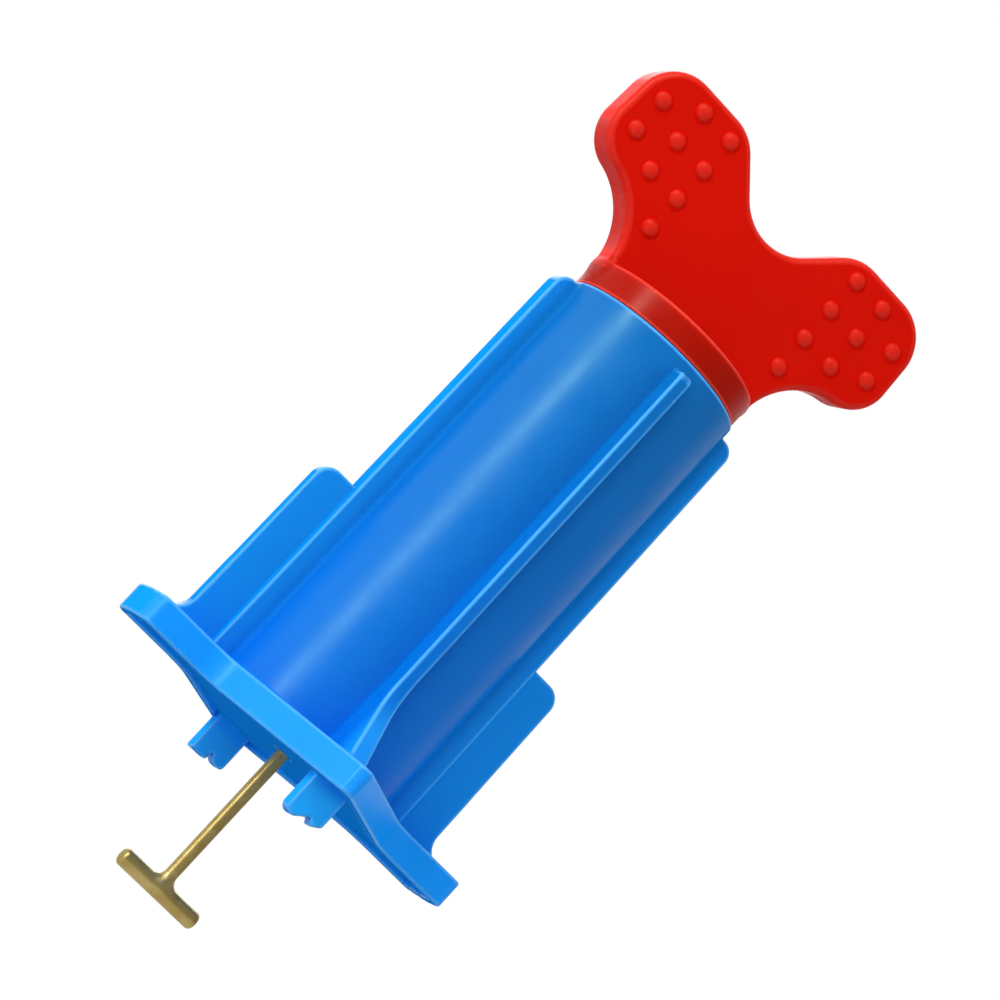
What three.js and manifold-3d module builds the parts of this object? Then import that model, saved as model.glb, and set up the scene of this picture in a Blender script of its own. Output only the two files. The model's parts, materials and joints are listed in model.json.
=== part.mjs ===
// Hand draw tool: a ribbed barrel with a lobed foot, a winged turning handle on top, and a thin
// T-ended rod that comes out of the foot. Turning the handle turns a lead screw inside the barrel,
// and the screw draws a keyed traveller, and the rod fixed to it, up through the foot.
// Units are millimetres. +Z runs from the T-end to the handle, +X along the handle's wings, and the
// origin is at the middle of the T-end's lowest face. Inside the group called tool, heights are
// measured from the foot's underside.

import * as THREE from 'three';
import { mergeVertices } from 'three/addons/utils/BufferGeometryUtils.js';
import Module from 'manifold-3d';

const wasm = await Module();
wasm.setup();

// ---- driving dimensions ----
const turn = 2 * Math.PI;
const quarter = Math.PI / 2;
const slack = 0.3; // radial gap between separate pieces
const seat = 0.1; // gap between faces that rest on each other
const overlap = 1; // how far joined shapes run into each other

const rodReach = 26.3; // foot underside to the T-end's lowest face
const barrelTop = 78.8;
const barrelRadiusLow = 15.75;
const barrelRadiusTop = 15.6;
const boreRadius = 13.6;
const rimChamfer = 0.4;

const footThickness = 4.6;
const tabRadius = 31.1; // the foot's two tabs end on this circle
const tabHalfWidth = 7.5;
const lobeReach = 33; // axis to the tip of a pointed lobe
const lobeTipRadius = 1.6;
const flankEnd = { x: 15.2, y: 11.3 }; // where a lobe's straight flank stops
const tabBend = { corner: 18.2, end: 22.5 }; // X of the bend from a flank into a tab's side
const pocketDepth = 0.8; // shallow recess in the foot's underside
const pocketScale = 0.9;

const sideFin = { thickness: 4, low: 19.3, high: 18.8, top: 77.9, corner: 2.2 };
const wing = { thickness: 2.6, low: 25.3, high: 25.0, top: 34.6, corner: 2.6, fillet: 3.2 };
const frontRib = { thickness: 2.2, low: 19.2, high: 18.6, top: 76.6, corner: 1.2, foot: 26.2 };
const ribFlare = { top: 18.5, middle: 15.1, bottom: 12.4 }; // heights of the bend above its straight slope

const lug = { left: -3.3, right: 2.6, thickness: 2.9, reach: 24.8 };
// The lower edge of each lug, as X and depth below the foot: two teeth with a notch between them.
const frontTeeth = [[-3.3, 5.4], [-2.9, 6.2], [-2.2, 6.6], [0.3, 5.1], [1.1, 6.0], [2.6, 5.1]];
const backTeeth = [[-3.3, 5.8], [-0.4, 5.7], [-0.2, 4.1], [0.6, 5.1], [1.0, 5.4], [2.0, 5.4], [2.6, 4.8]];

const collarRadius = 15.3;
const collarBase = barrelTop + slack;
const collarTop = 83.4;
const handleTop = 111.5;
const plateThickness = 6.6;
const plateEdge = 1.3; // rounding of the plate's edges
// The handle's outline is a chain of arcs, each touching the next.
const notchArc = { z: 110.85, radius: 8.5 };
const innerCorner = { x: 15.6, radius: 7.2 };
const outerCorner = { x: 22.3, radius: 7.1 };
const lowerCorner = { x: 23.25, z: 99.6, radius: 6.4 };
const neckArc = { x: 26.6, radius: 11.25 };
const outlineSteps = 7; // straight pieces in each arc of the outline
const bump = { radius: 1.45, height: 0.6, sink: 0.15 };
const bumpPitch = 5.8;
const bumpColumns = [
  { x: 14.3, top: 108.2, count: 4 },
  { x: 20.15, top: 108.2, count: 3 },
  { x: 25.8, top: 104.95, count: 2 },
];

const hubRadius = 10.9;
const hubBase = 66.5;
const clip = { base: 68.1, top: 69.2, groove: 9.9, outer: 12.8 };
const washer = { base: 69.3, top: 69.9 };
const sleeve = { base: 70, top: barrelTop - seat, inner: hubRadius + slack };

const lead = 6; // rise of the traveller for one turn of the handle
const screw = { shank: 4, core: 3.4, crest: 4.8, base: 33, threadTop: 63, top: 82.2, ridge: 2.2 };
const threadTaper = 0.3; // share of a ridge's width lost at its crest
const threadStepsPerTurn = 16;
const crossPin = { radius: 1.25, halfLength: 10.3, z: 74 };

const traveller = {
  base: 7, nutBase: 34, top: 42, outer: 13.2, waist: 8.4, bore: 5.2, hollow: 6.2, crest: 3.8,
};
const travellerFlange = 3;
const nutRidge = 2.5;
const key = { width: 2, reach: 11.7, top: 61 };

const rodRadius = 1;
const tBar = { halfLength: 7.4, radius: 1.4, cheek: 0.7 };
const rodFlare = { wide: 0.2, low: 0.7, high: 2 }; // the stem widens where it meets the T-bar
const rodCollar = { radius: 1.9, base: 5.95, top: 6.9 };
const rodTop = 13.3;
const rodWasher = { radius: 2.9, thickness: 0.5 };
const rodNut = { acrossFlats: 4, height: 1.6 };
const bush = { base: 2.4, radius: 3, flange: 5, flangeThickness: 0.9 };
const footHole = rodRadius + 0.5;

// ---- materials ----
const plastic = (color) => new THREE.MeshStandardMaterial({ color, roughness: 0.38, metalness: 0 });
const metal = (color, roughness) => new THREE.MeshStandardMaterial({ color, roughness, metalness: 1 });
const bluePlastic = () => plastic(0x1a7be0);
const redPlastic = () => plastic(0xd01505);
const whitePlastic = () => plastic(0xe6e4dc);
const brass = () => metal(0xb09a50, 0.3);
const steel = () => metal(0xb8babd, 0.35);

// ---- from three.js shapes to solids and back ----
function solid(geometry) {
  const bare = geometry.index ? geometry.toNonIndexed() : geometry.clone();
  bare.deleteAttribute('normal');
  bare.deleteAttribute('uv');
  const merged = mergeVertices(bare, 1e-4);
  const points = merged.attributes.position;
  const corner = merged.index;
  const [a, b, c] = [new THREE.Vector3(), new THREE.Vector3(), new THREE.Vector3()];
  const triangles = [];
  let volume = 0;
  for (let i = 0; i < corner.count; i += 3) {
    const [p, q, r] = [corner.getX(i), corner.getX(i + 1), corner.getX(i + 2)];
    if (p === q || q === r || r === p) continue;
    triangles.push([p, q, r]);
    a.fromBufferAttribute(points, p);
    b.fromBufferAttribute(points, q);
    c.fromBufferAttribute(points, r);
    volume += a.dot(b.cross(c));
  }
  const outward = volume < 0 ? triangles.map(([p, q, r]) => [p, r, q]) : triangles;
  const mesh = { numProp: 3, vertProperties: points.array, triVerts: new Uint32Array(outward.flat()) };
  return new wasm.Manifold(new wasm.Mesh(mesh));
}

function geometryOf(body) {
  const mesh = body.getMesh();
  const geometry = new THREE.BufferGeometry();
  geometry.setAttribute('position', new THREE.BufferAttribute(mesh.vertProperties, 3));
  geometry.setIndex(new THREE.BufferAttribute(mesh.triVerts, 1));
  geometry.computeVertexNormals();
  return geometry;
}

function joined(...bodies) {
  return bodies.reduce((all, next) => all.add(next));
}

function named(name, body, material) {
  const mesh = new THREE.Mesh(geometryOf(body), material);
  mesh.name = name;
  return mesh;
}

// A solid turned about Z from [radius, height] points, starting and ending on the axis or closed.
function turned(profile, segments = 48) {
  const points = profile.map(([radius, height]) => new THREE.Vector2(radius, height));
  return solid(new THREE.LatheGeometry(points, segments).rotateX(quarter));
}

function disc(radius, low, high, segments = 48) {
  return turned([[0, low], [radius, low], [radius, high], [0, high]], segments);
}

function ring(inner, outer, low, high, segments = 48) {
  return turned([[inner, low], [outer, low], [outer, high], [inner, high], [inner, low]], segments);
}

function block(x, y, z, sizeX, sizeY, sizeZ) {
  return solid(new THREE.BoxGeometry(sizeX, sizeY, sizeZ).translate(x, y, z));
}

// A shape drawn in X and height, made a plate of the given thickness across Y.
function plate(shape, thickness, segments = 6) {
  const options = { depth: thickness, bevelEnabled: false, curveSegments: segments };
  const geometry = new THREE.ExtrudeGeometry(shape, options);
  return solid(geometry.rotateX(quarter).translate(0, thickness / 2, 0));
}

function turnedAboutZ(body, degrees) {
  return body.rotate([0, 0, degrees]);
}

// A screw thread's ridge: a straight bar wound into a helix about Z, rising by lead each turn.
function threadRidge(inner, outer, width, low, high, phase) {
  const turns = (high - low) / lead;
  const steps = Math.ceil(turns * threadStepsPerTurn);
  const bar = new THREE.BoxGeometry(1, 1, 1, steps, 1, 1);
  const place = bar.attributes.position;
  for (let i = 0; i < place.count; i += 1) {
    const along = place.getX(i) + 0.5;
    const atCrest = place.getY(i) > 0 ? 1 : 0;
    const radius = atCrest ? outer : inner;
    const angle = along * turns * turn;
    const height = low + along * (high - low) + place.getZ(i) * width * (1 - threadTaper * atCrest);
    place.setXYZ(i, radius * Math.cos(angle + phase), radius * Math.sin(angle + phase), height);
  }
  return solid(bar);
}

// ---- barrel ----
function footShape() {
  const quadrant = [];
  const tipAngle = Math.atan2(flankEnd.x, lobeReach - flankEnd.y);
  const tipCentre = lobeReach - lobeTipRadius / Math.sin(tipAngle);
  const steps = 4;
  for (let i = 0; i <= steps; i += 1) {
    const angle = quarter - (i / steps) * (quarter - tipAngle);
    quadrant.push([lobeTipRadius * Math.cos(angle), tipCentre + lobeTipRadius * Math.sin(angle)]);
  }
  const intoTab = new THREE.QuadraticBezierCurve(
    new THREE.Vector2(flankEnd.x, flankEnd.y),
    new THREE.Vector2(tabBend.corner, tabHalfWidth),
    new THREE.Vector2(tabBend.end, tabHalfWidth),
  );
  intoTab.getPoints(6).forEach((point) => quadrant.push([point.x, point.y]));
  const cornerAngle = Math.asin(tabHalfWidth / tabRadius);
  for (let i = steps; i > 0; i -= 1) {
    const angle = (cornerAngle * i) / steps;
    quadrant.push([tabRadius * Math.cos(angle), tabRadius * Math.sin(angle)]);
  }
  quadrant.push([tabRadius, 0]);
  const back = quadrant.slice(0, -1).reverse();
  const right = [...quadrant, ...back.map(([x, y]) => [x, -y])];
  const left = right.slice(1, -1).map(([x, y]) => [-x, -y]);
  return new THREE.Shape([...right, ...left].map(([x, y]) => new THREE.Vector2(x, y)));
}

// A side fin up the barrel's wall, and the thinner wing that stands out from its lower part.
function sideFinBody() {
  const inside = boreRadius + overlap / 2;
  const fin = new THREE.Shape();
  fin.moveTo(inside, overlap);
  fin.lineTo(sideFin.low, overlap);
  fin.absarc(sideFin.high - sideFin.corner, sideFin.top - sideFin.corner, sideFin.corner, 0, quarter, false);
  fin.lineTo(inside, sideFin.top);
  const web = new THREE.Shape();
  web.moveTo(inside, overlap);
  web.lineTo(wing.low + wing.fillet, overlap);
  web.lineTo(wing.low + wing.fillet, footThickness);
  web.absarc(wing.low + wing.fillet, footThickness + wing.fillet, wing.fillet, -quarter, Math.PI, true);
  web.absarc(wing.high - wing.corner, wing.top - wing.corner, wing.corner, 0, quarter, false);
  web.lineTo(inside, wing.top);
  return joined(plate(fin, sideFin.thickness), plate(web, wing.thickness));
}

function frontRibBody() {
  const inside = boreRadius + overlap / 2;
  const shape = new THREE.Shape();
  shape.moveTo(inside, overlap);
  shape.lineTo(frontRib.foot, overlap);
  shape.lineTo(frontRib.foot, footThickness);
  const along = (ribFlare.bottom - footThickness) / (ribFlare.middle - footThickness);
  shape.lineTo(frontRib.foot + (frontRib.low - frontRib.foot) * along, ribFlare.bottom);
  shape.quadraticCurveTo(frontRib.low, ribFlare.middle, frontRib.low, ribFlare.top);
  const { high, top, corner } = frontRib;
  shape.absarc(high - corner, top - corner, corner, 0, quarter, false);
  shape.lineTo(inside, top);
  return turnedAboutZ(plate(shape, frontRib.thickness), -90);
}

// A lug under the foot on the given side: a flat block whose lower edge is cut into teeth.
function lugBody(teeth, side) {
  const root = overlap + pocketDepth;
  const shape = new THREE.Shape();
  shape.moveTo(lug.left, root);
  teeth.forEach(([x, depth]) => shape.lineTo(x, -depth));
  shape.lineTo(lug.right, root);
  return plate(shape, lug.thickness).translate([0, side * lug.reach, 0]);
}

function barrelBody() {
  const foot = footShape();
  const footPlate = solid(new THREE.ExtrudeGeometry(foot, { depth: footThickness, bevelEnabled: false }));
  const wall = turned([
    [0, 0],
    [barrelRadiusLow, 0],
    [barrelRadiusTop, barrelTop - rimChamfer],
    [barrelRadiusTop - rimChamfer, barrelTop],
    [0, barrelTop],
  ], 72);
  let body = joined(wall, footPlate);
  for (const degrees of [0, 180]) {
    body = joined(body, turnedAboutZ(sideFinBody(), degrees), turnedAboutZ(frontRibBody(), degrees));
  }
  const pocketPlate = new THREE.ExtrudeGeometry(foot, { depth: pocketDepth + 1, bevelEnabled: false });
  const pocket = solid(pocketPlate.scale(pocketScale, pocketScale, 1).translate(0, 0, -1));
  body = body.subtract(pocket);
  body = joined(body, lugBody(frontTeeth, -1), lugBody(backTeeth, 1));
  body = body.subtract(disc(boreRadius, footThickness, barrelTop + 1, 72));
  body = body.subtract(disc(footHole, -1, footThickness + 1, 24));
  body = body.subtract(disc(bush.radius + slack, bush.base, footThickness + 1, 32));
  const keyLength = key.top - footThickness + overlap;
  const keyMiddle = (boreRadius + overlap / 2 + key.reach) / 2;
  const keyDepth = boreRadius + overlap / 2 - key.reach;
  for (const side of [-1, 1]) {
    const keyHeight = key.top - keyLength / 2;
    body = body.add(block(side * keyMiddle, 0, keyHeight, keyDepth, key.width, keyLength));
  }
  return body;
}

// ---- handle ----
function handleOutline() {
  const half = new THREE.Path();
  const innerZ = handleTop - innerCorner.radius;
  const run = { x: innerCorner.x, z: innerZ - notchArc.z };
  const swing = Math.acos((notchArc.radius + innerCorner.radius) / Math.hypot(run.x, run.z));
  const meet = Math.atan2(run.z, run.x) - swing;
  const bendRun = neckArc.x - lowerCorner.x;
  const bendDrop = Math.sqrt((lowerCorner.radius + neckArc.radius) ** 2 - bendRun ** 2);
  const bend = Math.atan2(bendDrop, -bendRun);
  half.absarc(0, notchArc.z, notchArc.radius, -quarter, meet, false);
  half.absarc(innerCorner.x, innerZ, innerCorner.radius, meet + Math.PI, quarter, true);
  half.absarc(outerCorner.x, handleTop - outerCorner.radius, outerCorner.radius, quarter, 0, true);
  half.absarc(lowerCorner.x, lowerCorner.z, lowerCorner.radius, 0, bend - Math.PI, true);
  half.absarc(neckArc.x, lowerCorner.z - bendDrop, neckArc.radius, bend, Math.PI, false);
  half.lineTo(collarRadius, collarBase + overlap);
  const right = half.getPoints(outlineSteps);
  const left = right.slice(1).reverse().map((point) => new THREE.Vector2(-point.x, point.y));
  return new THREE.Shape([...right, ...left]);
}

function handlePlate() {
  const options = {
    depth: plateThickness - 2 * plateEdge,
    bevelThickness: plateEdge,
    bevelSize: plateEdge,
    bevelOffset: -plateEdge,
    bevelSegments: 2,
  };
  const geometry = new THREE.ExtrudeGeometry(handleOutline(), options);
  return solid(geometry.rotateX(quarter).translate(0, plateThickness / 2 - plateEdge, 0));
}

// One grip bump: a low dome whose axis is Y, standing on the plate's face on the given side.
function gripBump(x, z, side) {
  const dome = [[0, -bump.sink], [bump.radius, -bump.sink], [bump.radius, 0]];
  dome.push([bump.radius * Math.cos(quarter / 2), bump.height * Math.sin(quarter / 2)]);
  dome.push([0, bump.height]);
  const facing = turned(dome, 8).rotate([side * -90, 0, 0]);
  return facing.translate([x, side * plateThickness / 2, z]);
}

function handleBody() {
  const collar = turned([
    [0, collarBase],
    [collarRadius - rimChamfer, collarBase],
    [collarRadius, collarBase + rimChamfer],
    [collarRadius, collarTop - 2 * rimChamfer],
    [collarRadius - rimChamfer, collarTop],
    [0, collarTop + overlap],
  ], 72);
  let body = joined(collar, handlePlate(), disc(hubRadius, hubBase, collarBase + overlap));
  for (const { x, top, count } of bumpColumns) {
    for (let row = 0; row < count; row += 1) {
      for (const side of [-1, 1]) {
        const z = top - row * bumpPitch;
        body = joined(body, gripBump(x, z, side), gripBump(-x, z, side));
      }
    }
  }
  body = body.subtract(ring(clip.groove, hubRadius + 1, clip.base - seat, clip.top + seat));
  body = body.subtract(disc(screw.shank + slack, hubBase - 1, screw.top + slack, 32));
  return body.subtract(crossPinBody(crossPin.radius + slack, hubRadius + 1));
}

function crossPinBody(radius, halfLength) {
  const upright = disc(radius, -halfLength, halfLength, 16);
  return upright.rotate([0, 90, 0]).translate([0, 0, crossPin.z]);
}

function leadScrewBody() {
  const core = turned([
    [0, screw.base],
    [screw.core - rimChamfer, screw.base],
    [screw.core, screw.base + rimChamfer],
    [screw.core, screw.threadTop + overlap],
    [screw.shank, screw.threadTop + 2 * overlap],
    [screw.shank, screw.top],
    [0, screw.top],
  ], 24);
  const half = screw.ridge / 2;
  const low = screw.base + half + rimChamfer;
  const phase = (low / lead) * turn;
  const ridge = threadRidge(screw.core - slack, screw.crest, screw.ridge, low, screw.threadTop - half, phase);
  return core.add(ridge).subtract(crossPinBody(crossPin.radius + slack, screw.shank + 1));
}

// ---- traveller and rod ----
function travellerBody() {
  const { base, nutBase, top, outer, waist, bore, hollow } = traveller;
  const rodHole = rodRadius + slack;
  const floor = base + travellerFlange;
  let body = turned([
    [rodHole, base],
    [outer, base],
    [outer, floor],
    [waist, floor + 1],
    [waist, top - travellerFlange - 1],
    [outer, top - travellerFlange],
    [outer, top],
    [bore, top],
    [bore, nutBase],
    [hollow, nutBase - 1],
    [hollow, floor],
    [rodHole, floor],
    [rodHole, base],
  ]);
  const half = nutRidge / 2;
  const low = nutBase + half + seat;
  const phase = (low / lead + 0.5) * turn;
  body = body.add(threadRidge(bore + slack, traveller.crest, nutRidge, low, top - half - seat, phase));
  const slotWidth = key.width + 2 * slack;
  for (const side of [-1, 1]) {
    const slotDepth = outer + 1 - (key.reach - slack);
    const slotMiddle = key.reach - slack + slotDepth / 2;
    body = body.subtract(block(side * slotMiddle, 0, (base + top) / 2, slotDepth, slotWidth, top - base + 2));
  }
  return body;
}

// A round bar across the rod's end, with its two ends domed.
function tEndBody() {
  const { halfLength, radius, cheek } = tBar;
  const profile = [[0, -halfLength]];
  for (const share of [-1, 1]) {
    for (const angle of share < 0 ? [0.35, 0.7, 1] : [1, 0.7, 0.35]) {
      const swing = angle * quarter;
      profile.push([radius * Math.sin(swing), share * (halfLength - cheek + cheek * Math.cos(swing))]);
    }
  }
  profile.push([0, halfLength]);
  return turned(profile, 20).rotate([0, 90, 0]).translate([0, 0, -rodReach + radius]);
}

function drawRodBody() {
  const barTop = -rodReach + 2 * tBar.radius;
  const stem = turned([
    [0, -rodReach + tBar.radius],
    [tBar.radius, -rodReach + tBar.radius],
    [tBar.radius, barTop - seat],
    [rodRadius + rodFlare.wide, barTop + rodFlare.low],
    [rodRadius, barTop + rodFlare.high],
    [rodRadius, rodCollar.base],
    [rodCollar.radius, rodCollar.base],
    [rodCollar.radius, rodCollar.top],
    [rodRadius, rodCollar.top],
    [rodRadius, rodTop],
    [0, rodTop],
  ], 24);
  return joined(stem, tEndBody());
}

function rodNutBody() {
  const low = traveller.base + travellerFlange + seat + rodWasher.thickness + seat;
  const cornerRadius = rodNut.acrossFlats / 2 / Math.cos(Math.PI / 6);
  const hexagon = disc(cornerRadius, low, low + rodNut.height, 6);
  return hexagon.subtract(disc(rodRadius + slack, low - 1, low + 3, 20));
}

function rodWasherBody() {
  const low = traveller.base + travellerFlange + seat;
  return ring(rodRadius + slack, rodWasher.radius, low, low + rodWasher.thickness, 24);
}

function guideBushBody() {
  const flangeBase = footThickness + seat;
  const bore = rodRadius + slack;
  return turned([
    [bore, bush.base + seat],
    [bush.radius, bush.base + seat],
    [bush.radius, flangeBase],
    [bush.flange, flangeBase],
    [bush.flange, flangeBase + bush.flangeThickness],
    [bore, flangeBase + bush.flangeThickness],
    [bore, bush.base + seat],
  ], 32);
}

// ---- assembly ----
const barrelGroup = new THREE.Group();
barrelGroup.add(
  named('barrel', barrelBody(), bluePlastic()),
  named('mouth_sleeve', ring(sleeve.inner, boreRadius - seat, sleeve.base, sleeve.top, 72), whitePlastic()),
  named('rod_guide_bush', guideBushBody(), brass()),
);

const handleGroup = new THREE.Group();
handleGroup.add(
  named('handle', handleBody(), redPlastic()),
  named('lead_screw', leadScrewBody(), steel()),
  named('screw_cross_pin', crossPinBody(crossPin.radius, crossPin.halfLength), steel()),
  named('retaining_clip', ring(clip.groove + slack, clip.outer, clip.base, clip.top), steel()),
  named('thrust_washer', ring(sleeve.inner, clip.outer, washer.base, washer.top), whitePlastic()),
);

const rodGroup = new THREE.Group();
rodGroup.add(
  named('traveller', travellerBody(), whitePlastic()),
  named('t_rod', drawRodBody(), brass()),
  named('rod_washer', rodWasherBody(), steel()),
  named('rod_nut', rodNutBody(), brass()),
);

const tool = new THREE.Group();
tool.add(barrelGroup, handleGroup, rodGroup);
tool.position.z = rodReach;

const part = new THREE.Group();
part.add(tool);
export default part;
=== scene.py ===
"""The looks of the T-rod draw tool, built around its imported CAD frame.

The three outside pieces (barrel, handle and rod) are made as distance fields, so that every edge has its
true moulded or forged rounding, and then as meshes. Shape dimensions are in millimetres with heights from
the foot's underside, as in the CAD; objects are in metres in the CAD's frame.
"""

import json
import math

import bpy
import numpy as np
from mathutils import Matrix, Vector


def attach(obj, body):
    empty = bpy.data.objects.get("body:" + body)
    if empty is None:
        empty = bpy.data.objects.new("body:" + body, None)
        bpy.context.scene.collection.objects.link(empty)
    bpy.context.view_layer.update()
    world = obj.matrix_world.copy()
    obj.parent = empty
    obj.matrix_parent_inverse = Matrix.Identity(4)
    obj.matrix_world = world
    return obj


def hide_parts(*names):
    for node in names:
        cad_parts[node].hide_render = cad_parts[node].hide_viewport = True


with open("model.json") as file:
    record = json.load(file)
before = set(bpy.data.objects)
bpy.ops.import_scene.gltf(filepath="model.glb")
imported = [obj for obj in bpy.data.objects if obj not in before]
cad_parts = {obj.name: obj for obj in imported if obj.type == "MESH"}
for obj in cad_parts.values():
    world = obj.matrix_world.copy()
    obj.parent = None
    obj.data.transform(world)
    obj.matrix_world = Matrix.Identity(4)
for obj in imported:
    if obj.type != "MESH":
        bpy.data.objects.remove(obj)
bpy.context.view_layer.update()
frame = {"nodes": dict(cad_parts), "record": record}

MM = 0.001
FOOT_Z = 26.3  # height of the foot's underside above the T-end's lowest face

# ---- driving dimensions, mm ----
BARREL_TOP = 78.8
BARREL_R_LOW = 15.75
BARREL_R_TOP = 15.6
BORE_R = 13.6
FOOT_T = 4.6
TAB_R = 31.1
TAB_HALF = 7.5
LOBE_REACH = 33.0
LOBE_TIP_R = 1.6
FLANK_X, FLANK_Y = 15.2, 11.3
TAB_CORNER_R = 1.2
FLANK_BEND_R = 6.0  # the bend from a lobe's flank into a tab's side
POCKET_DEPTH = 0.8
POCKET_RIM = 1.7
RIM_BASE = 0.4  # the wall's lower end, sunk in the foot
KEY = {"half": 1.0, "inner": 11.7, "top": 61}
BUSH_SEAT_R, BUSH_SEAT_Z = 3.3, 2.4
FOOT_HOLE_R = 1.5

SIDE_FIN = {"half": 2.0, "low": 19.3, "high": 18.8, "top": 77.9, "corner": 2.2}
WING = {"half": 1.3, "low": 25.3, "high": 25.0, "top": 34.6, "corner": 2.6, "fillet": 3.2}
FRONT_RIB = {"half": 1.1, "low": 19.2, "high": 18.6, "top": 76.6, "corner": 1.2, "foot": 26.2}
FLARE = {"top": 18.5, "middle": 15.1, "bottom": 12.4}
RIB_GROWTH = 0.45  # how much each side of the rib swells down its flare
LUG = {"left": -3.3, "right": 2.6, "half": 1.45, "reach": 24.8}

COLLAR_R = 15.3
COLLAR_BASE = BARREL_TOP + 0.08
COLLAR_TOP = 83.4
HANDLE_TOP = 111.5
PLATE_HALF = 3.3
PLATE_EDGE = 1.1
NECK_INSET = 1.2  # how far the plate's lowest corner is sunk into the collar
CROWN = 1  # how much the collar's upper face rises from its edge to its middle
NOTCH = (0.0, 110.85, 8.5)
INNER_CORNER = (15.6, HANDLE_TOP - 7.2, 7.2)
OUTER_CORNER = (22.3, HANDLE_TOP - 7.1, 7.1)
LOWER_CORNER = (23.25, 99.6, 6.4)
NECK_X, NECK_R = 26.6, 11.25
BUMP_R, BUMP_H = 1.45, 0.6
BUMP_PITCH = 5.8
BUMP_COLUMNS = [(14.3, 108.2, 4), (20.15, 108.2, 3), (25.8, 104.95, 2)]
HUB_R = 10.9
HUB_BASE = 66.5
CLIP_GROOVE = (68.0, 69.3, 9.9)
SCREW_BORE_R, SCREW_BORE_TOP = 4.3, 82.5
PIN_BORE_R, PIN_Z = 1.55, 74.0

ROD_R = 1.0
ROD_TOP = 13.3
T_HALF, T_R, T_CHEEK = 7.4, 1.4, 0.7
ROD_COLLAR = (1.9, 5.95, 6.9)

# Radii of the moulded edges and of the inside corners.
EDGE_R = {
    "rim": 0.4, "fin": 0.4, "wing": 0.35, "rib": 0.45, "foot": 0.4, "pocket": 0.15, "lug": 0.2, "bore": 0.25,
}
INSIDE_R = {"wing": 0.35, "fin": 0.8, "rib": 0.6, "foot": 0.7, "lug": 0.3}
COLLAR_EDGE_R = {"top": 0.5, "base": 0.3}
NECK_FILLET_R, BUMP_FILLET_R, ROD_FILLET_R = 1.0, 0.1, 1.4
ROD_EDGE_R = 0.2

QUARTER = math.pi / 2
CURVE_STEPS = 16


# ---- outlines in a plane, with true arcs ----
class Outline:
    """A closed outline of lines and arcs, and its signed distance, negative inside."""

    def __init__(self):
        self.pieces = []
        self.points = []

    def line_to(self, a, b):
        if self.points and math.dist(self.points[-1], (a, b)) > 1e-6:
            self.pieces.append(("line", self.points[-1], (a, b)))
        self.points.append((a, b))

    def arc(self, a, b, radius, start, end):
        self.line_to(a + radius * math.cos(start), b + radius * math.sin(start))
        self.pieces.append(("arc", (a, b), radius, min(start, end), max(start, end)))
        steps = max(4, int(abs(end - start) * radius / 0.25))
        for i in range(1, steps + 1):
            angle = start + (end - start) * i / steps
            self.points.append((a + radius * math.cos(angle), b + radius * math.sin(angle)))

    def close(self):
        self.line_to(*self.points[0])
        return self

    def distance(self, a, b):
        best = None
        for piece in self.pieces:
            if piece[0] == "line":
                (a0, b0), (a1, b1) = piece[1], piece[2]
                da, db = a1 - a0, b1 - b0
                along = np.clip(((a - a0) * da + (b - b0) * db) / (da * da + db * db), 0, 1)
                far = np.hypot(a - a0 - along * da, b - b0 - along * db)
            else:
                (ca, cb), radius, start, end = piece[1:]
                middle, half = (start + end) / 2, (end - start) / 2
                turned = np.arctan2(b - cb, a - ca) - middle
                turned = (turned + math.pi) % (2 * math.pi) - math.pi
                turned = np.clip(turned, -half, half) + middle
                far = np.hypot(a - ca - radius * np.cos(turned), b - cb - radius * np.sin(turned))
            best = far if best is None else np.minimum(best, far)
        inside = np.zeros(np.broadcast(a, b).shape, bool)
        for (a0, b0), (a1, b1) in zip(self.points, self.points[1:] + self.points[:1]):
            if b0 == b1:
                continue
            crosses = (b0 > b) != (b1 > b)
            inside ^= crosses & (a < a0 + (b - b0) / (b1 - b0) * (a1 - a0))
        return np.where(inside, -best, best)


# ---- joining distances ----
def fillet(a, b, radius):
    """The union of two distances with a concave fillet between them."""
    beyond = np.hypot(np.maximum(radius - a, 0), np.maximum(radius - b, 0))
    return np.maximum(radius, np.minimum(a, b)) - beyond


def rounded(a, b, radius):
    """The common part of two distances with its convex edge rounded."""
    beyond = np.hypot(np.maximum(radius + a, 0), np.maximum(radius + b, 0))
    return np.minimum(-radius, np.maximum(a, b)) + beyond


def tube(x, y, radius):
    return np.hypot(x, y) - radius


def between(z, low, high):
    return np.abs(z - (low + high) / 2) - (high - low) / 2


# ---- from a distance field to a mesh ----
CORNERS = [(i, j, k) for i in (0, 1) for j in (0, 1) for k in (0, 1)]
EDGES = [(p, q) for p in CORNERS for q in CORNERS if p < q and sum(abs(m - n) for m, n in zip(p, q)) == 1]


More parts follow.
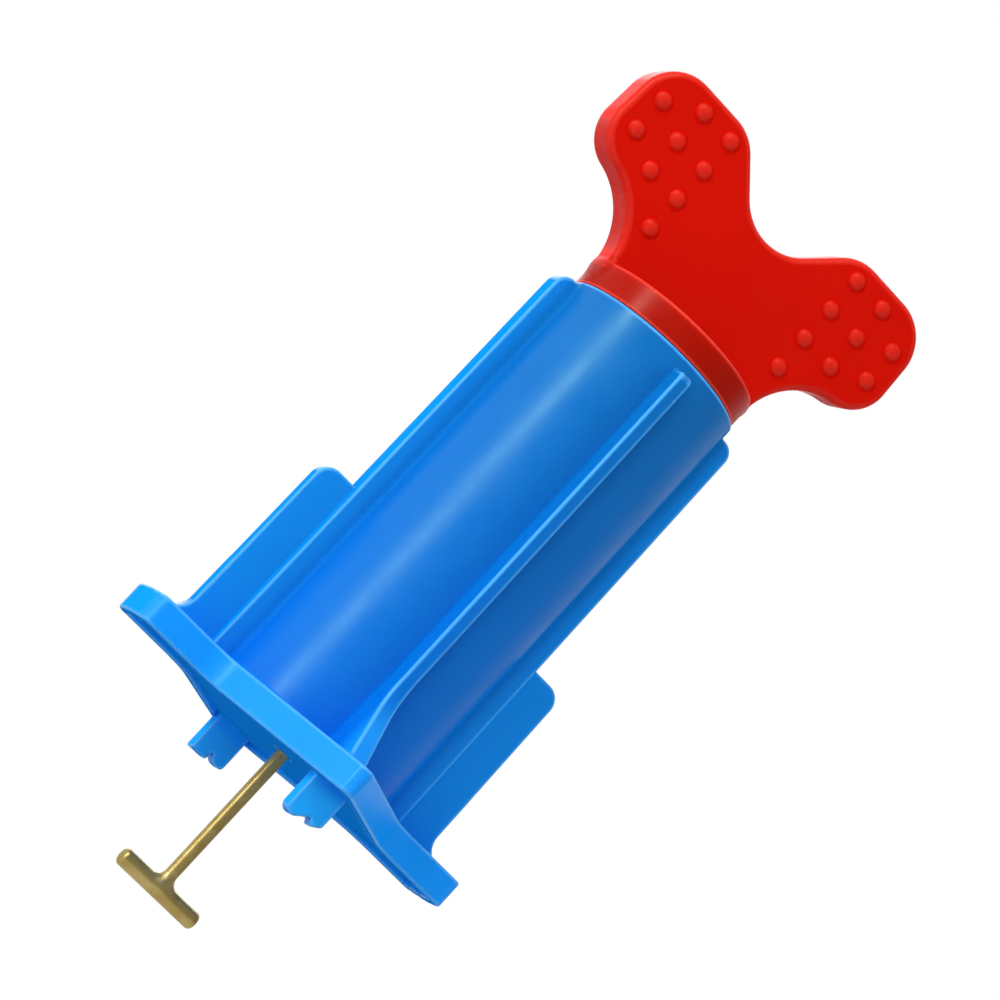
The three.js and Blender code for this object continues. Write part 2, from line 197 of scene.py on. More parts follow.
def surface_nets(field, axes):
    """Vertices and quads of the field's zero surface: one vertex in each cell that it passes through."""
    inside = field < 0
    shape = tuple(n - 1 for n in field.shape)
    count = np.zeros(shape, np.uint8)
    for i, j, k in CORNERS:
        count += inside[i:i + shape[0], j:j + shape[1], k:k + shape[2]]
    cells = np.argwhere((count > 0) & (count < 8))
    index = np.full(shape, -1, np.int64)
    index[tuple(cells.T)] = np.arange(len(cells))
    total = np.zeros((len(cells), 3))
    hits = np.zeros(len(cells))
    for p, q in EDGES:
        at_p = field[tuple((cells + p).T)]
        at_q = field[tuple((cells + q).T)]
        crossing = (at_p < 0) != (at_q < 0)
        share = np.where(crossing, at_p / np.where(crossing, at_p - at_q, 1), 0)
        total += crossing[:, None] * (np.array(p) + share[:, None] * (np.array(q) - np.array(p)))
        hits += crossing
    place = cells + total / hits[:, None]
    step = axes[0][1] - axes[0][0]
    vertices = np.array([axis[0] for axis in axes]) + place * step
    quads = []
    for d in range(3):
        low = [slice(1, n - 1) for n in field.shape]
        low[d] = slice(0, field.shape[d] - 1)
        high = list(low)
        high[d] = slice(1, field.shape[d])
        before, after = inside[tuple(low)], inside[tuple(high)]
        edge = np.argwhere(before != after)
        outward = before[tuple(edge.T)]
        offset = np.ones(3, int)
        offset[d] = 0
        edge = edge + offset
        u, v = np.eye(3, dtype=int)[(d + 1) % 3], np.eye(3, dtype=int)[(d + 2) % 3]
        ring = [index[tuple((edge - s).T)] for s in (u + v, v, 0 * u, u)]
        ring = np.stack(ring, axis=1)
        ring[~outward] = ring[~outward][:, ::-1]
        quads.append(ring)
    return vertices, np.concatenate(quads)


def gradient(distance, points, reach=0.03):
    slopes = []
    for d in range(3):
        shift = np.zeros(3)
        shift[d] = reach
        ahead = distance(*(points + shift).T)
        behind = distance(*(points - shift).T)
        slopes.append((ahead - behind) / (2 * reach))
    return np.stack(slopes, axis=1)


def bend_of(distance, points, reach=0.3):
    """How sharply the surface bends, per millimetre: above nought where it is convex."""
    total = -6 * distance(*points.T)
    for d in range(3):
        shift = np.zeros(3)
        shift[d] = reach
        total += distance(*(points + shift).T) + distance(*(points - shift).T)
    return total / reach ** 2


def mesh_of(name, distance, low, high, step):
    """A mesh object of the distance field's surface inside the box, smooth shaded by the field itself."""
    axes = [np.arange(lo - 1.5 * step, hi + 2.5 * step, step) for lo, hi in zip(low, high)]
    x, y, z = axes[0][:, None, None], axes[1][None, :, None], axes[2][None, None, :]
    shape = [len(axis) for axis in axes]
    field = np.ascontiguousarray(np.broadcast_to(distance(x, y, z), shape), dtype=np.float32)
    points, quads = surface_nets(field, axes)
    for _ in range(3):
        slope = gradient(distance, points)
        size = np.maximum((slope ** 2).sum(axis=1), 0.25)
        move = (distance(*points.T) / size)[:, None] * slope
        points = points - np.clip(move, -0.4 * step, 0.4 * step)
    slope = gradient(distance, points)
    normals = slope / np.maximum(np.linalg.norm(slope, axis=1), 1e-9)[:, None]
    mesh = bpy.data.meshes.new(name)
    mesh.from_pydata(((points + [0, 0, FOOT_Z]) * MM).tolist(), [], quads.tolist())
    mesh.validate()
    mesh.polygons.foreach_set("use_smooth", [True] * len(mesh.polygons))
    mesh.attributes.new("bend", "FLOAT", "POINT").data.foreach_set("value", bend_of(distance, points))
    mesh.normals_split_custom_set_from_vertices(normals.tolist())
    piece = bpy.data.objects.new(name, mesh)
    bpy.context.scene.collection.objects.link(piece)
    return piece


# ---- barrel ----
def foot_outline():
    tip_angle = math.atan2(FLANK_X, LOBE_REACH - FLANK_Y)
    tip_centre = LOBE_REACH - LOBE_TIP_R / math.sin(tip_angle)
    bend_turn = QUARTER - tip_angle
    bend_b = TAB_HALF + FLANK_BEND_R
    reach = (bend_b - FLANK_Y) * math.tan(tip_angle)
    bend_a = FLANK_X - reach + FLANK_BEND_R / math.cos(tip_angle)
    outline = Outline()
    corner_b = TAB_HALF - TAB_CORNER_R
    corner_a = math.sqrt((TAB_R - TAB_CORNER_R) ** 2 - corner_b ** 2)
    end_turn = math.atan2(corner_b, corner_a)
    outline.arc(0, 0, TAB_R, 0, end_turn)
    outline.arc(corner_a, corner_b, TAB_CORNER_R, end_turn, QUARTER)
    outline.arc(bend_a, bend_b, FLANK_BEND_R, -QUARTER, -QUARTER - bend_turn)
    outline.arc(0, tip_centre, LOBE_TIP_R, tip_angle, QUARTER)
    outline.line_to(0, 0)
    return outline.close()


def fin_outline():
    inside = BORE_R + 1
    fin = SIDE_FIN
    outline = Outline()
    outline.line_to(inside, 1)
    outline.line_to(fin["low"], 1)
    outline.arc(fin["high"] - fin["corner"], fin["top"] - fin["corner"], fin["corner"], 0, QUARTER)
    outline.line_to(inside, fin["top"])
    return outline.close()


def wing_outline():
    inside = BORE_R + 1
    foot = WING["low"] + WING["fillet"]
    outline = Outline()
    outline.line_to(inside, 1)
    outline.line_to(foot, 1)
    outline.arc(foot, FOOT_T + WING["fillet"], WING["fillet"], -QUARTER, -math.pi)
    outline.arc(WING["high"] - WING["corner"], WING["top"] - WING["corner"], WING["corner"], 0, QUARTER)
    outline.line_to(inside, WING["top"])
    return outline.close()


def rib_outline():
    inside = BORE_R + 1
    rib = FRONT_RIB
    outline = Outline()
    outline.line_to(inside, 1)
    outline.line_to(rib["foot"], 1)
    outline.line_to(rib["foot"], FOOT_T)
    # the flare: a straight slope up from the lobe, with a short bend into the rib's outer edge
    along = (FLARE["bottom"] - FOOT_T) / (FLARE["middle"] - FOOT_T)
    start = (rib["foot"] + (rib["low"] - rib["foot"]) * along, FLARE["bottom"])
    bend, end = (rib["low"], FLARE["middle"]), (rib["low"], FLARE["top"])
    for i in range(CURVE_STEPS + 1):
        t = i / CURVE_STEPS
        weights = ((1 - t) ** 2, 2 * t * (1 - t), t * t)
        outline.line_to(*(sum(w * p[n] for w, p in zip(weights, (start, bend, end))) for n in (0, 1)))
    outline.arc(rib["high"] - rib["corner"], rib["top"] - rib["corner"], rib["corner"], 0, QUARTER)
    outline.line_to(inside, rib["top"])
    return outline.close()


def front_lug_outline():
    """Two teeth as seen from the front: a rounded point on the left, a bevelled one on the right."""
    outline = Outline()
    outline.line_to(LUG["left"], 2)
    outline.arc(LUG["left"] + 1.15, -5.45, 1.15, math.pi, 1.64 * math.pi)
    outline.line_to(0.25, -5.1)
    outline.line_to(0.45, -5.1)
    outline.line_to(1.1, -6.0)
    outline.line_to(LUG["right"], -5.1)
    outline.line_to(LUG["right"], 2)
    return outline.close()


def back_lug_outline():
    """Two teeth as seen from the front: a square one on the left, a slit and a rounded one on the right."""
    outline = Outline()
    outline.line_to(LUG["left"], 2)
    outline.arc(LUG["left"] + 0.25, -5.5, 0.25, math.pi, 1.5 * math.pi)
    outline.line_to(-0.45, -5.7)
    outline.line_to(-0.25, -4.1)
    outline.line_to(0.5, -5.05)
    outline.line_to(1.0, -5.4)
    outline.arc(LUG["right"] - 0.65, -4.75, 0.65, -QUARTER, 0)
    outline.line_to(LUG["right"], 2)
    return outline.close()


FOOT, FIN, WING_PLAN, RIB = foot_outline(), fin_outline(), wing_outline(), rib_outline()
FRONT_LUG, BACK_LUG = front_lug_outline(), back_lug_outline()


def barrel_distance(x, y, z):
    ax, ay = np.abs(x), np.abs(y)
    radius = BARREL_R_LOW + (BARREL_R_TOP - BARREL_R_LOW) * z / BARREL_TOP
    wall = rounded(tube(x, y, radius), between(z, RIM_BASE, BARREL_TOP), EDGE_R["rim"])
    fins = rounded(FIN.distance(ax, z), ay - SIDE_FIN["half"], EDGE_R["fin"])
    wings = rounded(WING_PLAN.distance(ax, z), ay - WING["half"], EDGE_R["wing"])
    fins = fillet(fins, wings, INSIDE_R["wing"])
    rib_half = FRONT_RIB["half"] + RIB_GROWTH * np.clip((FLARE["top"] - z) / (FLARE["top"] - FOOT_T), 0, 1)
    ribs = rounded(RIB.distance(ay, z), ax - rib_half, EDGE_R["rib"])
    body = fillet(fillet(wall, fins, INSIDE_R["fin"]), ribs, INSIDE_R["rib"])
    foot_plan = FOOT.distance(ax, ay)
    foot = rounded(foot_plan, between(z, 0, FOOT_T), EDGE_R["foot"])
    body = fillet(body, foot, INSIDE_R["foot"])
    pocket = np.maximum(foot_plan + POCKET_RIM, z - POCKET_DEPTH)
    body = rounded(body, -pocket, EDGE_R["pocket"])
    lug_face = np.where(y < 0, FRONT_LUG.distance(x, z), BACK_LUG.distance(x, z))
    lugs = rounded(lug_face, np.abs(ay - LUG["reach"]) - LUG["half"], EDGE_R["lug"])
    body = fillet(body, lugs, INSIDE_R["lug"])
    bore = np.maximum(tube(x, y, BORE_R), FOOT_T - z)
    body = rounded(body, -bore, EDGE_R["bore"])
    keys = np.maximum(ay - KEY["half"], np.maximum(KEY["inner"] - ax, ax - BORE_R - 1))
    keys = np.maximum(keys, np.maximum(z - KEY["top"], FOOT_T - 1 - z))
    body = np.minimum(body, keys)
    bush_seat = np.maximum(tube(x, y, BUSH_SEAT_R), BUSH_SEAT_Z - z)
    return np.maximum(body, -np.minimum(bush_seat, tube(x, y, FOOT_HOLE_R)))


# ---- handle ----
def handle_outline():
    run_a, run_b = INNER_CORNER[0], INNER_CORNER[1] - NOTCH[1]
    swing = math.acos((NOTCH[2] + INNER_CORNER[2]) / math.hypot(run_a, run_b))
    meet = math.atan2(run_b, run_a) - swing
    outline = Outline()
    bend_drop = math.sqrt((LOWER_CORNER[2] + NECK_R) ** 2 - (NECK_X - LOWER_CORNER[0]) ** 2)
    bend = math.atan2(bend_drop, LOWER_CORNER[0] - NECK_X)
    outline.line_to(0, COLLAR_BASE + 1)
    outline.line_to(COLLAR_R - NECK_INSET, COLLAR_BASE + 1)
    outline.arc(NECK_X, LOWER_CORNER[1] - bend_drop, NECK_R, math.pi, bend)
    outline.arc(*LOWER_CORNER, bend - math.pi, 0)
    outline.arc(*OUTER_CORNER, 0, QUARTER)
    outline.arc(*INNER_CORNER, QUARTER, meet + math.pi)
    outline.arc(*NOTCH, meet, -QUARTER)
    return outline.close()


WINGS = handle_outline()
# The mirror line through the middle is no real edge, so it doesn't count in the distance.
WINGS.pieces = [p for p in WINGS.pieces if not (p[0] == "line" and max(abs(p[1][0]), abs(p[2][0])) < 1e-6)]
FOOT.pieces = [p for p in FOOT.pieces if not (p[0] == "line" and (0, 0) in (p[1], p[2]))]


def handle_distance(x, y, z):
    ax, ay = np.abs(x), np.abs(y)
    plate = rounded(WINGS.distance(ax, z), ay - PLATE_HALF, PLATE_EDGE)
    sphere_r = (BUMP_R ** 2 + BUMP_H ** 2) / (2 * BUMP_H)
    sunk = ay - PLATE_HALF - BUMP_H + sphere_r
    for column, top, count in BUMP_COLUMNS:
        for row in range(count):
            dome = np.hypot(np.hypot(ax - column, z - top + row * BUMP_PITCH), sunk) - sphere_r
            plate = fillet(plate, np.maximum(dome, PLATE_HALF - 1 - ay), BUMP_FILLET_R)
    crown = z - COLLAR_TOP - CROWN * (1 - np.hypot(x, y) / COLLAR_R)
    collar = rounded(tube(x, y, COLLAR_R), crown, COLLAR_EDGE_R["top"])
    collar = rounded(collar, COLLAR_BASE - z, COLLAR_EDGE_R["base"])
    body = fillet(plate, collar, NECK_FILLET_R)
    hub = np.maximum(tube(x, y, HUB_R), between(z, HUB_BASE, COLLAR_BASE + 1))
    groove = np.maximum(between(z, CLIP_GROOVE[0], CLIP_GROOVE[1]), CLIP_GROOVE[2] - np.hypot(x, y))
    body = np.minimum(body, np.maximum(hub, -groove))
    bore = np.maximum(tube(x, y, SCREW_BORE_R), z - SCREW_BORE_TOP)
    pin = np.hypot(y, z - PIN_Z) - PIN_BORE_R
    return np.maximum(body, -np.minimum(bore, pin))


# ---- rod ----
def rod_distance(x, y, z):
    stem = rounded(tube(x, y, ROD_R), between(z, -FOOT_Z + T_R, ROD_TOP), ROD_EDGE_R)
    bar_z = z + FOOT_Z - T_R
    bar = rounded(np.hypot(y, bar_z) - T_R, np.abs(x) - T_HALF, T_CHEEK)
    collar_r, collar_low, collar_high = ROD_COLLAR
    swage = rounded(tube(x, y, collar_r), between(z, collar_low, collar_high), ROD_EDGE_R)
    return np.minimum(fillet(stem, bar, ROD_FILLET_R), swage)


# ---- materials ----
# Bends, per mm, at which an edge starts to be painted paler, partly as wear and partly as a painted
# highlight, and is fully so, and an inside corner to look dull.
PALE_EDGE_BEND_START, PALE_EDGE_BEND_END = 0.5, 2.2
CREASE_BEND_START, CREASE_BEND_FULL = -0.3, -1.2
# The part of a normal along an axis at which a face starts to count as looking that way and fully does.
DOWN_START, DOWN_FULL = -0.4, -0.9
RIGHT_START, RIGHT_FULL = 0.65, 0.88
LEFT_START, LEFT_FULL = -0.95, -0.99
# Reliefs, as the texture's scale per metre and detail, then the strength and the depth in mm.
GRAIN = (2600, 2, 0.12, 0.06)
DRAW_MARKS = (900, 3, 0.1, 0.08)
WAVES = (110, 2, 0.15, 0.4)
DRAWN_LINES = (3000, 2, 0.06, 0.02)
DENTS = (300, 2, 0.08, 0.04)
# Patches of other colour or roughness, as the texture's scale per metre and detail.
COLOUR_DRIFT, PLASTIC_PATCHES = (60, 3), (140, 4)
TARNISH_PATCHES, METAL_PATCHES = (350, 2), (500, 1)
EVEN = (1, 1, 1)
MOULD_LINES = (1, 1, 0.03)  # stretches a texture into lines along the tool's axis
STOCK_LINES = (1, 1, 0.02)
TRANSLUCENCE, SCATTER_DEPTH = 0.1, 1.2
DULLED = 0.8  # the metallic share of dulled, handled metal


def material(name, colour, roughness, metallic=0.0):
    made = bpy.data.materials.new(name)
    made.use_nodes = True
    shader = made.node_tree.nodes["Principled BSDF"]
    shader.inputs["Base Color"].default_value = (*colour, 1)
    shader.inputs["Roughness"].default_value = roughness
    shader.inputs["Metallic"].default_value = metallic
    return made, made.node_tree, shader


def noise(tree, scale, detail, stretch=EVEN):
    """A noise texture in object space; scale is in cycles per metre."""
    coordinate = tree.nodes.new("ShaderNodeTexCoord")
    mapping = tree.nodes.new("ShaderNodeMapping")
    mapping.inputs["Scale"].default_value = stretch
    texture = tree.nodes.new("ShaderNodeTexNoise")
    texture.inputs["Scale"].default_value = scale
    texture.inputs["Detail"].default_value = detail
    tree.links.new(coordinate.outputs["Object"], mapping.inputs["Vector"])
    tree.links.new(mapping.outputs["Vector"], texture.inputs["Vector"])
    return texture.outputs["Fac"]


def object_axes(tree, output="Object"):
    """The X, Y and Z of the place in object space, or of the normal there."""
    coordinate = tree.nodes.new("ShaderNodeTexCoord")
    split = tree.nodes.new("ShaderNodeSeparateXYZ")
    tree.links.new(coordinate.outputs[output], split.inputs["Vector"])
    return split.outputs


def spread(tree, source, low, high, start=0.3, end=0.7):
    """Maps a noise value from start..end to low..high."""
    node = tree.nodes.new("ShaderNodeMapRange")
    for key, value in (("From Min", start), ("From Max", end), ("To Min", low), ("To Max", high)):
        node.inputs[key].default_value = value
    tree.links.new(source, node.inputs["Value"])
    return node.outputs["Result"]


def mix_colour(tree, factor, first, second):
    node = tree.nodes.new("ShaderNodeMix")
    node.data_type = "RGBA"
    tree.links.new(factor, node.inputs["Factor"])
    for socket, value in (("A", first), ("B", second)):
        target = [s for s in node.inputs if s.name == socket and s.type == "RGBA"][0]
        if isinstance(value, tuple):
            target.default_value = (*value, 1)
        else:
            tree.links.new(value, target)
    return [s for s in node.outputs if s.type == "RGBA"][0]


def tinted(tree, colour, tint):
    """One colour multiplied by another."""
    node = tree.nodes.new("ShaderNodeMix")
    node.data_type = "RGBA"
    node.blend_type = "MULTIPLY"
    node.inputs["Factor"].default_value = 1
    sockets = [s for s in node.inputs if s.type == "RGBA"]
    tree.links.new(colour, sockets[0])
    tree.links.new(tint, sockets[1])
    return [s for s in node.outputs if s.type == "RGBA"][0]


def bump(tree, height, strength, distance, under=None):
    node = tree.nodes.new("ShaderNodeBump")
    node.inputs["Strength"].default_value = strength
    node.inputs["Distance"].default_value = distance
    tree.links.new(height, node.inputs["Height"])
    if under is not None:
        tree.links.new(under, node.inputs["Normal"])
    return node.outputs["Normal"]


def relief(tree, kind, stretch=EVEN, under=None):
    """A textured bump of one of the kinds above, over the one under it."""
    scale, detail, strength, depth = kind
    return bump(tree, noise(tree, scale, detail, stretch), strength, depth * MM, under)


def bend_of_surface(tree):
    """How sharply the surface bends, as stored in the mesh; nought where nothing is stored."""
    bend = tree.nodes.new("ShaderNodeAttribute")
    bend.attribute_name = "bend"
    return bend.outputs["Fac"]


def worn_and_highlit_edges(tree):
    """One at sharp convex edges and nought elsewhere: where the edges are painted paler, partly as wear and
    partly as a painted highlight.
    """
    return spread(tree, bend_of_surface(tree), 0, 1, PALE_EDGE_BEND_START, PALE_EDGE_BEND_END)


def height_blend(tree, low, high):
    """Nought below the low height and one above the high one, in millimetres above the foot's underside."""
    return spread(tree, object_axes(tree)["Z"], 0, 1, (low + FOOT_Z) * MM, (high + FOOT_Z) * MM)


def largest(tree, *values):
    """The largest of the values."""
    result = values[0]
    for value in values[1:]:
        node = tree.nodes.new("ShaderNodeMath")
        node.operation = "MAXIMUM"
        tree.links.new(result, node.inputs[0])
        tree.links.new(value, node.inputs[1])
        result = node.outputs[0]
    return result


def facing_down(tree):
    """One on faces that look straight down, nought on upright faces and faces that look up."""
    return spread(tree, object_axes(tree, "Normal")["Z"], 1, 0, DOWN_FULL, DOWN_START)


def facing_aside(tree):
    """One on faces that look to either side, nought on faces turned well away from that."""
    across = object_axes(tree, "Normal")["X"]
    rightward = spread(tree, across, 0, 1, RIGHT_START, RIGHT_FULL)
    leftward = spread(tree, across, 1, 0, LEFT_FULL, LEFT_START)
    return largest(tree, rightward, leftward)


def creases(tree):
    """One in tight inside corners and nought on flat and convex faces."""
    return spread(tree, bend_of_surface(tree), 1, 0, CREASE_BEND_FULL, CREASE_BEND_START)


def dull_share(tree):
    """One where the moulding has no gloss: its underside, its end faces and its inside corners."""
    return largest(tree, facing_down(tree), facing_aside(tree), creases(tree))


def moulded_plastic(name, colour, deep, worn_and_lit_colour, roughness, gloss, dull_gloss, sheen=(1, 1, 1), tint=None):
    """Satin injection-moulded plastic: faint colour drift, fine grain, draw marks, and edges painted paler,
    partly as wear and partly as a painted highlight.

    Its gloss sinks to the dull gloss where dull_share says so. The sheen is the colour that the pigment
    gives to the highlights, and the tint is a colour that varies over the piece, which here also paints
    light into it.
    """
    made, tree, shader = material(name, colour, roughness)
    drift = mix_colour(tree, spread(tree, noise(tree, *COLOUR_DRIFT), 0, 1), deep, colour)
    if tint is not None:
        drift = tinted(tree, drift, tint(tree))
    # convex edges painted the paler colour: partly wear, partly a painted highlight
    worn_and_lit = mix_colour(tree, worn_and_highlit_edges(tree), drift, worn_and_lit_colour)
    tree.links.new(worn_and_lit, shader.inputs["Base Color"])
    patchy = spread(tree, noise(tree, *PLASTIC_PATCHES), roughness - 0.05, roughness + 0.07)
    tree.links.new(patchy, shader.inputs["Roughness"])
    grain = relief(tree, GRAIN)
    draw_marks = relief(tree, DRAW_MARKS, MOULD_LINES, grain)
    waves = relief(tree, WAVES, under=draw_marks)
    tree.links.new(waves, shader.inputs["Normal"])
    shader.inputs["Subsurface Weight"].default_value = TRANSLUCENCE
    shader.inputs["Subsurface Radius"].default_value = (0.4, 0.7, 1.0)
    shader.inputs["Subsurface Scale"].default_value = SCATTER_DEPTH * MM
    shader.inputs["Specular Tint"].default_value = (*sheen, 1)
    if gloss == dull_gloss:
        shader.inputs["Specular IOR Level"].default_value = gloss
    else:
        level = spread(tree, dull_share(tree), gloss, dull_gloss, 0, 1)
        tree.links.new(level, shader.inputs["Specular IOR Level"])
    return made


def fin_glow_share(tree):
    """Nought on the barrel's wall, rising to one on the side fins and wings and on the ribs' flares: the
    share of the fins' painted glow.
    """
    axes = object_axes(tree)
    blends = []
    for axis, start, end in (("X", 15.6, 17.6), ("Y", 19.4, 23)):
        size = tree.nodes.new("ShaderNodeMath")
        size.operation = "ABSOLUTE"
        tree.links.new(axes[axis], size.inputs[0])
        blends.append(spread(tree, size.outputs[0], 0, 1, start * MM, end * MM))
    return largest(tree, *blends)


UNTINTED = (1, 1, 1)
# greyer and darker towards the barrel's mouth
MOUTH_TINT = (2.4, 0.92, 0.72)
# painted glow: the fin, foot and lug colours are raised as if light shone through these thin parts
FIN_GLOW_TINT = (3, 1.65, 1.25)
FOOT_GLOW_TINT = (4, 1.9, 1.5)
LUG_GLOW_TINT = (8, 2.2, 1.4)
# the foot's underside, left nearly its plain colour without the painted glow
UNDERSIDE_TINT = (3, 1.05, 0.95)
# the collar painted darker than the plate
COLLAR_TINT = (0.61, 1.35, 2.2)
# painted sheen: the plate's side faces painted brighter and pinker
PLATE_SIDE_PAINTED_SHEEN = (1.55, 2.2, 2.2)


def barrel_glow_and_tone(tree):
    """A painted glow: the fins, wings, rib flares, foot and lugs are painted paler, as if light shone
    through them, while the foot's underside keeps a nearly plain colour; the wall turns greyer and darker
    towards its mouth.
    """
    wall = mix_colour(tree, height_blend(tree, 10, BARREL_TOP), UNTINTED, MOUTH_TINT)
    upper = mix_colour(tree, fin_glow_share(tree), wall, FIN_GLOW_TINT)
    foot = mix_colour(tree, height_blend(tree, -1.5, -0.5), LUG_GLOW_TINT, FOOT_GLOW_TINT)
    lower = mix_colour(tree, facing_down(tree), foot, UNDERSIDE_TINT)
    return mix_colour(tree, height_blend(tree, FOOT_T - 0.4, FOOT_T + 0.8), lower, upper)


def handle_lit_sides_and_tone(tree):
    """The collar is painted darker and greyer than the plate, and the plate's side faces get a painted
    sheen.
    """
    # the side faces painted brighter, a painted sheen in place of the gloss that dull_share takes off them
    plate = mix_colour(tree, facing_aside(tree), UNTINTED, PLATE_SIDE_PAINTED_SHEEN)
    above_collar = height_blend(tree, COLLAR_TOP - 1.5, COLLAR_TOP + 1.5)
    return mix_colour(tree, above_collar, COLLAR_TINT, plate)


def drawn_metal(name, colour, tarnish, roughness):
    """Drawn metal stock: fine lines along its length, shallow dents and dull patches."""
    made, tree, shader = material(name, colour, roughness, DULLED)
    tarnished = spread(tree, noise(tree, *TARNISH_PATCHES), 0, 1, 0.42, 0.68)
    tree.links.new(mix_colour(tree, tarnished, colour, tarnish), shader.inputs["Base Color"])
    patchy = spread(tree, noise(tree, *METAL_PATCHES), roughness - 0.03, roughness + 0.05)
    tree.links.new(patchy, shader.inputs["Roughness"])
    lines = relief(tree, DRAWN_LINES, STOCK_LINES)
    dents = relief(tree, DENTS, under=lines)
    tree.links.new(dents, shader.inputs["Normal"])
    return made


blue = moulded_plastic(
    "blue_plastic",
    colour=(0.0015, 0.16, 0.66),
    deep=(0.001, 0.152, 0.63),
    worn_and_lit_colour=(0.06, 0.36, 0.88),
    roughness=0.33,
    gloss=0.34,
    dull_gloss=0,
    sheen=(0.5, 1, 0.7),
    tint=barrel_glow_and_tone,
)
red = moulded_plastic(
    "red_plastic",
    colour=(0.62, 0.004, 0.0003),
    deep=(0.59, 0.0036, 0.0002),
    worn_and_lit_colour=(0.78, 0.05, 0.03),
    roughness=0.32,
    gloss=0.18,
    dull_gloss=0.04,
    sheen=(1, 0.7, 0.55),
    tint=handle_lit_sides_and_tone,
)
white = moulded_plastic(
    "white_plastic",
    colour=(0.78, 0.77, 0.72),
    deep=(0.72, 0.71, 0.66),
    worn_and_lit_colour=(0.85, 0.84, 0.8),
    roughness=0.42,
    gloss=0.5,
    dull_gloss=0.5,
)
brass = drawn_metal("brass", (0.54, 0.41, 0.15), (0.44, 0.32, 0.09), 0.36)
steel = drawn_metal("steel", (0.62, 0.63, 0.65), (0.45, 0.46, 0.48), 0.32)


# ---- pieces ----
def finish_piece(piece, body, node, surface):
    piece.data.materials.append(surface)
    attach(piece, body)
    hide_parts(node)


step = 0.36  # mesh spacing on the barrel, mm
HANDLE_SHARE, ROD_SHARE = 0.8, 0.5  # the finer spacings on the smaller pieces

barrel_box = (-31.5, -33, -6.8), (31.5, 33, BARREL_TOP)
barrel = mesh_of("barrel_shell", barrel_distance, *barrel_box, step)
finish_piece(barrel, "barrel", "barrel", blue)
handle_box = (-29.8, -15.4, HUB_BASE), (29.8, 15.4, HANDLE_TOP)
handle = mesh_of("wing_handle", handle_distance, *handle_box, HANDLE_SHARE * step)
finish_piece(handle, "handle", "handle", red)
rod_box = (-T_HALF, -ROD_COLLAR[0], -FOOT_Z), (T_HALF, ROD_COLLAR[0], ROD_TOP)
rod = mesh_of("t_ended_rod", rod_distance, *rod_box, ROD_SHARE * step)
finish_piece(rod, "rod", "t_rod", brass)

surfaces = {"white_plastic": white, "brass": brass, "steel": steel}
for part in frame["record"]["subparts"]:
    node = frame["nodes"][part["node"]]
    if part["material_slot"] in surfaces and not node.hide_render:
        node.data.materials.clear()
        node.data.materials.append(surfaces[part["material_slot"]])

# ---- camera ----
VIEW_AZIMUTH = math.radians(-18.16)
VIEW_ELEVATION = math.radians(-9.55)
VIEW_ROLL = math.radians(42.85)
VIEW_DISTANCE = 569.7
AIM_HEIGHT = FOOT_Z + 47.14  # the point on the axis that the camera would aim at without its shift
AIM_SHIFT = (-1.894, 1.326)  # to the camera's level right and upward
SENSOR_WIDTH, LENS = 36, 143.6

ahead = Vector((
    -math.sin(VIEW_AZIMUTH) * math.cos(VIEW_ELEVATION),
    math.cos(VIEW_AZIMUTH) * math.cos(VIEW_ELEVATION),
    -math.sin(VIEW_ELEVATION),
))
level = Vector((math.cos(VIEW_AZIMUTH), math.sin(VIEW_AZIMUTH), 0))
upright = level.cross(ahead)
aim = Vector((0, 0, AIM_HEIGHT)) + level * AIM_SHIFT[0] + upright * AIM_SHIFT[1]
right = level * math.cos(VIEW_ROLL) + upright * math.sin(VIEW_ROLL)
up = upright * math.cos(VIEW_ROLL) - level * math.sin(VIEW_ROLL)
camera = bpy.data.objects.new("camera", bpy.data.cameras.new("camera"))
camera.data.sensor_width = SENSOR_WIDTH
camera.data.lens = LENS
camera.data.clip_start = 10 * MM
place = Matrix.Translation((aim - ahead * VIEW_DISTANCE) * MM)
camera.matrix_world = place @ Matrix((right, up, -ahead)).transposed().to_4x4()
bpy.context.scene.collection.objects.link(camera)
bpy.context.scene.camera = camera

# ---- studio ----
DARK_SIDE, BRIGHT_SIDE = 0.2, 0.75  # strengths of the surroundings that light the tool
BRIGHT_WAY = 0.75 * ahead - 0.66 * level + 0.3 * upright  # where the surroundings are brightest
MIDDLE = Vector((0, 0, 0.07))
FLOOR_Z = -0.08
FLOOR_SIZE = 6
FLOOR_GREY = (0.62, 0.62, 0.62)


def area_light(name, place, size, power, glossy=True):
    """A rectangular lamp, in metres and watts, that looks at the tool's middle."""
    lamp = bpy.data.lights.new(name, "AREA")
    lamp.shape = "RECTANGLE"
    lamp.size, lamp.size_y = size
    lamp.energy = power
    obj = bpy.data.objects.new(name, lamp)
    obj.location = place
    obj.visible_glossy = glossy
    obj.rotation_euler = (MIDDLE - place).to_track_quat("-Z", "Y").to_euler()
    bpy.context.scene.collection.objects.link(obj)


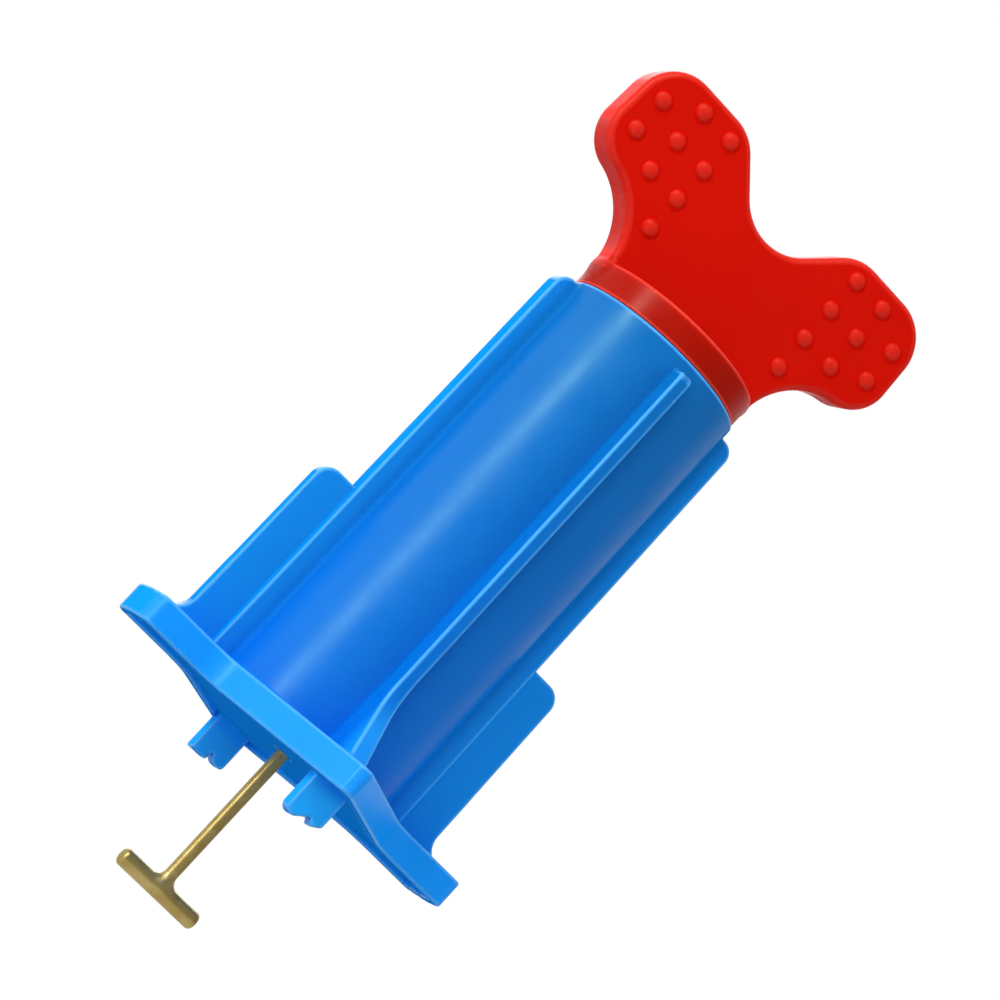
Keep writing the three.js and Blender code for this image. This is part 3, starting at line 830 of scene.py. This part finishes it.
def toward(degrees_left, degrees_up, distance):
    """A point that far from the tool's middle, turned left from the camera's side of the tool and raised."""
    turn, lift = VIEW_AZIMUTH - math.radians(degrees_left), math.radians(degrees_up)
    away = Vector((math.sin(turn) * math.cos(lift), -math.cos(turn) * math.cos(lift), math.sin(lift)))
    return MIDDLE + away * distance


area_light("key", toward(48, 20, 0.6), (0.07, 0.5), 2.4)
area_light("front_fill", toward(22, 50, 0.8), (0.3, 0.3), 1.7)
area_light("right_fill", toward(-70, 25, 1.6), (0.6, 1.0), 9.0, glossy=False)
area_light("back", toward(170, 30, 0.8), (0.6, 0.6), 2.0)

world = bpy.data.worlds.new("studio")
world.use_nodes = True
sky = world.node_tree
lighting = sky.nodes["Background"]
lighting.inputs["Color"].default_value = (1, 1, 1, 1)
direction = sky.nodes.new("ShaderNodeTexCoord").outputs["Generated"]
bright_share = sky.nodes.new("ShaderNodeVectorMath")
bright_share.operation = "DOT_PRODUCT"
bright_share.inputs[1].default_value = BRIGHT_WAY
sky.links.new(direction, bright_share.inputs[0])
strength = spread(sky, bright_share.outputs["Value"], DARK_SIDE, BRIGHT_SIDE, -0.3, 0.4)
sky.links.new(strength, lighting.inputs["Strength"])
backdrop = sky.nodes.new("ShaderNodeBackground")
backdrop.inputs["Color"].default_value = (1, 1, 1, 1)
backdrop.inputs["Strength"].default_value = 1.0
path = sky.nodes.new("ShaderNodeLightPath")
seen_or_lit = sky.nodes.new("ShaderNodeMixShader")
sky.links.new(path.outputs["Is Camera Ray"], seen_or_lit.inputs["Fac"])
sky.links.new(lighting.outputs["Background"], seen_or_lit.inputs[1])
sky.links.new(backdrop.outputs["Background"], seen_or_lit.inputs[2])
sky.links.new(seen_or_lit.outputs["Shader"], sky.nodes["World Output"].inputs["Surface"])
bpy.context.scene.world = world
bpy.context.scene.view_settings.view_transform = "Standard"

bpy.ops.mesh.primitive_plane_add(size=FLOOR_SIZE, location=(0, 0, FLOOR_Z))
floor = bpy.context.object
floor.name = "floor"
floor_paint, _, _ = material("floor_paint", FLOOR_GREY, 0.8)
floor.data.materials.append(floor_paint)
